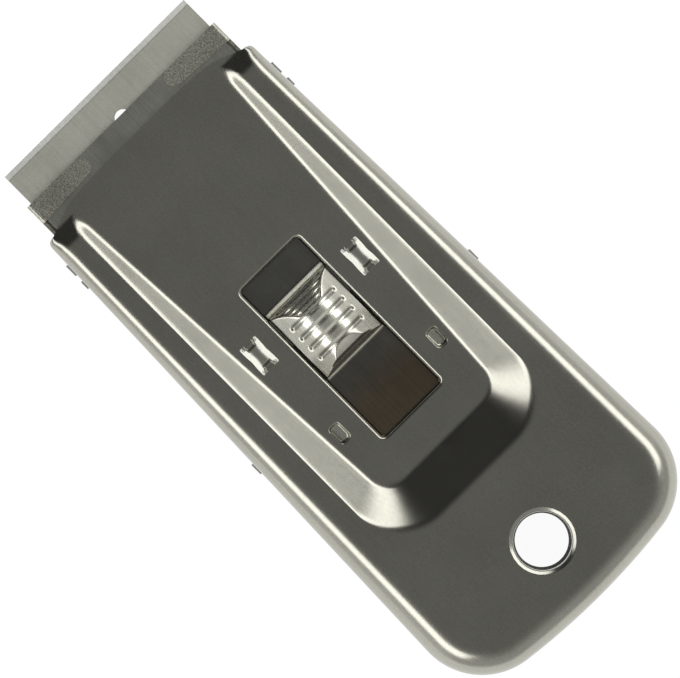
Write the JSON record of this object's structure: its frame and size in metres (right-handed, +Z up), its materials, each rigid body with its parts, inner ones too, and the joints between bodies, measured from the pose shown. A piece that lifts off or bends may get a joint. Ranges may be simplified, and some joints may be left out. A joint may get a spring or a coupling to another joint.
{
  "type": "razor blade scraper",
  "caption": "Pocket scraper with a pressed steel wedge body, a sunken thumb slot, a ribbed slider that pushes a single-edge blade out of the front mouth, and a hanging hole.",
  "frame": {"origin": "centre of the bounding box's bottom face, with the blade in its working position", "axes": "+X forward, towards the cutting edge, and +Z up, away from the base plate"},
  "size_m": [0.1084, 0.048, 0.0092],
  "materials": {
    "body_steel": "satin nickel-plated pressed steel with a fine grain",
    "base_steel": "satin plated steel sheet",
    "strap_steel": "plated steel strap, peened tabs polished by the tool",
    "slider_steel": "bright plated steel with sliding scratches",
    "holder_steel": "rough grey mill-finish steel",
    "rivet_steel": "plain steel rivets",
    "spring_steel": "tempered spring steel",
    "blade_steel": "satin ground carbon steel with a lighter honed bevel",
    "spine_steel": "folded plain steel strip"
  },
  "bodies": {
    "housing": {"shell": "body_steel", "base_plate": "base_steel", "guide_strap": "strap_steel"},
    "slider": {"thumb_slider": "slider_steel", "blade_tray": "holder_steel", "slider_rivets": "rivet_steel", "detent_spring": "spring_steel"},
    "blade": {"blade": "blade_steel", "blade_spine": "spine_steel"}
  },
  "joints": [
    {"name": "slider_slide", "type": "slide", "parent": "housing", "child": "slider", "axis": [1, 0, 0], "range_m": [-0.0115, 0.005]},
    {"name": "blade_pull", "type": "slide", "parent": "slider", "child": "blade", "axis": [1, 0, 0], "range_m": [0, 0.016]}
  ]
}
